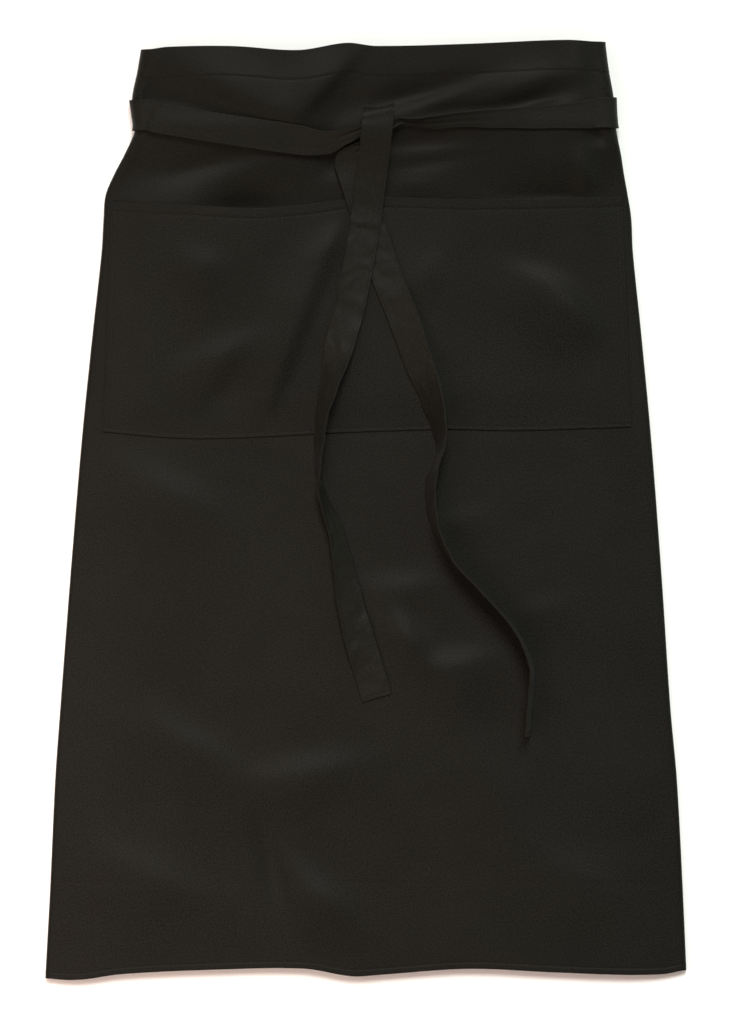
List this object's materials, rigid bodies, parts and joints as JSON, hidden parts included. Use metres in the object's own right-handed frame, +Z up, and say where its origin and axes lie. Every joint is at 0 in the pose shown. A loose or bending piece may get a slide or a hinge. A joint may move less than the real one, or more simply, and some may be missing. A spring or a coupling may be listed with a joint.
{
  "type": "bartender apron",
  "caption": "Long black twill waist apron with a wide patch pocket, its sides folded back and its flat ties half knotted in front, lying face up.",
  "frame": {"origin": "middle of the lying apron's outline, on the surface that it lies on", "axes": "+X across the front to the right, +Y from the hem up to the waist, +Z up from the surface"},
  "size_m": [0.6208, 0.9093, 0.0437],
  "materials": {
    "black_twill": "matte black cotton twill with a faint sheen"
  },
  "bodies": {
    "root": {"apron_panel": "black_twill", "patch_pocket": "black_twill", "tie_left": "black_twill", "tie_right": "black_twill"}
  },
  "joints": []
}
